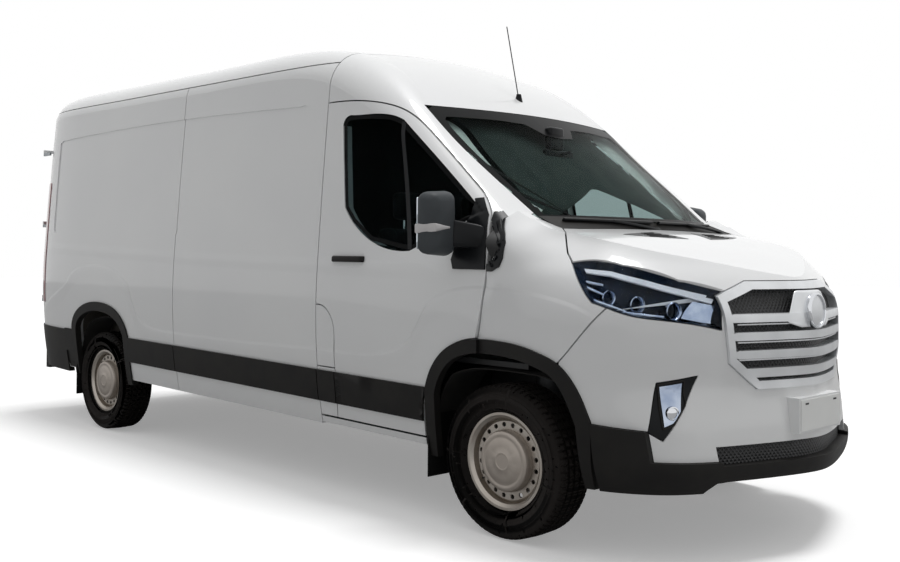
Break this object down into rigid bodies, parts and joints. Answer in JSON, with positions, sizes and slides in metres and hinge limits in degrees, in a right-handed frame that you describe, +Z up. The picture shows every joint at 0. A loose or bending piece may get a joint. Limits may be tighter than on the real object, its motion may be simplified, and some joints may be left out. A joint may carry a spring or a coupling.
{
  "type": "panel van",
  "caption": "Long-wheelbase panel van with opening cab and rear doors, bonnet and fuel flap, steered front wheels, hollow cab and load space.",
  "frame": {"origin": "on the ground, halfway along the van and halfway across it", "axes": "+X forward, +Y to the van's left, +Z up"},
  "size_m": [5.9667, 2.465, 2.5991],
  "materials": {
    "body_paint": "gloss white paint",
    "floor_paint": "satin grey paint",
    "chassis_paint": "black chassis paint",
    "carrier_black": "black paint",
    "black_plastic": "grained black plastic",
    "grille_silver": "silver painted plastic",
    "mesh_black": "black plastic mesh",
    "lamp_clear": "clear lamp",
    "lamp_red": "red lamp lens",
    "plate_white": "blank plate",
    "flap_rubber": "black rubber sheet",
    "screen_glass": "green tinted glass",
    "side_glass": "green tinted glass",
    "dash_plastic": "dark grained plastic",
    "seat_fabric": "dark woven cloth",
    "cast_metal": "cast metal",
    "tank_plastic": "black moulded plastic",
    "exhaust_steel": "dull steel pipe",
    "hinge_grey": "grey paint",
    "wheel_black": "soft black plastic",
    "tyre_rubber": "tyre rubber",
    "rim_silver": "silver wheel paint"
  },
  "bodies": {
    "van": {"roof_panel": "body_paint", "cab_shell": "body_paint", "side_panels_right": "body_paint", "side_panels_left": "body_paint", "sliding_door": "body_paint", "door_frames": "body_paint", "load_floor": "floor_paint", "cab_floor": "floor_paint", "chassis_frame": "chassis_paint", "front_carrier": "carrier_black", "fenders": "body_paint", "front_bumper": "body_paint", "bumper_lip": "black_plastic", "grille": "grille_silver", "front_mesh": "mesh_black", "headlamps": "lamp_clear", "fog_lamps": "black_plastic", "number_plate": "plate_white", "rear_bumper": "black_plastic", "tail_lamps": "lamp_red", "side_mouldings": "black_plastic", "arch_trims": "black_plastic", "mud_flaps": "flap_rubber", "windscreen": "screen_glass", "cowl": "black_plastic", "antenna": "black_plastic", "dashboard": "dash_plastic", "driver_seat": "seat_fabric", "passenger_bench": "seat_fabric", "engine": "cast_metal", "fuel_tank": "tank_plastic", "exhaust": "exhaust_steel", "front_suspension": "chassis_paint", "rear_axle": "chassis_paint", "rear_hinges": "hinge_grey"},
    "front_door_right": {"door_front_right": "body_paint", "door_glass_right": "side_glass", "door_fittings_right": "black_plastic"},
    "front_door_left": {"door_front_left": "body_paint", "door_glass_left": "side_glass", "door_fittings_left": "black_plastic"},
    "bonnet": {"bonnet": "body_paint"},
    "rear_door_right": {"rear_door_right": "body_paint"},
    "rear_door_left": {"rear_door_left": "body_paint"},
    "fuel_flap": {"fuel_flap": "body_paint"},
    "knuckle_left": {"knuckle_left": "cast_metal"},
    "knuckle_right": {"knuckle_right": "cast_metal"},
    "steering_wheel": {"steering_wheel": "wheel_black"},
    "wheel_front_left": {"tyre_front_left": "tyre_rubber", "rim_front_left": "rim_silver"},
    "wheel_front_right": {"tyre_front_right": "tyre_rubber", "rim_front_right": "rim_silver"},
    "wheel_rear_left": {"tyre_rear_left": "tyre_rubber", "rim_rear_left": "rim_silver"},
    "wheel_rear_right": {"tyre_rear_right": "tyre_rubber", "rim_rear_right": "rim_silver"}
  },
  "joints": [
    {"name": "front_door_right_hinge", "type": "hinge", "parent": "van", "child": "front_door_right", "pos_m": [1.922, -1.035, 1.2], "axis": [0, 0, 1], "range_deg": [0, 70]},
    {"name": "front_door_left_hinge", "type": "hinge", "parent": "van", "child": "front_door_left", "pos_m": [1.922, 1.035, 1.2], "axis": [0, 0, -1], "range_deg": [0, 70]},
    {"name": "rear_door_right_hinge", "type": "hinge", "parent": "van", "child": "rear_door_right", "pos_m": [-2.97, -0.915, 1.5], "axis": [0, 0, 1], "range_deg": [0, 180]},
    {"name": "rear_door_left_hinge", "type": "hinge", "parent": "van", "child": "rear_door_left", "pos_m": [-2.97, 0.915, 1.5], "axis": [0, 0, -1], "range_deg": [0, 180]},
    {"name": "bonnet_hinge", "type": "hinge", "parent": "van", "child": "bonnet", "pos_m": [2.13, 0, 1.4195], "axis": [0, -1, 0], "range_deg": [0, 60]},
    {"name": "fuel_flap_hinge", "type": "hinge", "parent": "van", "child": "fuel_flap", "pos_m": [0.7025, -1.0325, 0.85], "axis": [0, 0, -1], "range_deg": [0, 85]},
    {"name": "kingpin_left", "type": "hinge", "parent": "van", "child": "knuckle_left", "pos_m": [1.955, 0.79, 0.35], "axis": [0, 0, 1], "range_deg": [-35, 35]},
    {"name": "front_wheel_left_spin", "type": "hinge", "parent": "knuckle_left", "child": "wheel_front_left", "pos_m": [1.955, 0.867, 0.35], "axis": [0, 1, 0], "continuous": true},
    {"name": "rear_wheel_left_spin", "type": "hinge", "parent": "van", "child": "wheel_rear_left", "pos_m": [-1.805, 0.8795, 0.35], "axis": [0, 1, 0], "continuous": true},
    {"name": "kingpin_right", "type": "hinge", "parent": "van", "child": "knuckle_right", "pos_m": [1.955, -0.79, 0.35], "axis": [0, 0, 1], "range_deg": [-35, 35]},
    {"name": "front_wheel_right_spin", "type": "hinge", "parent": "knuckle_right", "child": "wheel_front_right", "pos_m": [1.955, -0.867, 0.35], "axis": [0, 1, 0], "continuous": true},
    {"name": "rear_wheel_right_spin", "type": "hinge", "parent": "van", "child": "wheel_rear_right", "pos_m": [-1.805, -0.8795, 0.35], "axis": [0, 1, 0], "continuous": true},
    {"name": "steering_wheel_turn", "type": "hinge", "parent": "van", "child": "steering_wheel", "pos_m": [1.47, -0.44, 1.19], "axis": [0.866, 0, -0.5], "range_deg": [-525, 525]}
  ],
  "couplings": [
    {"joint": "kingpin_right", "follows": "kingpin_left", "ratio": 1},
    {"joint": "steering_wheel_turn", "follows": "kingpin_left", "ratio": -15}
  ]
}
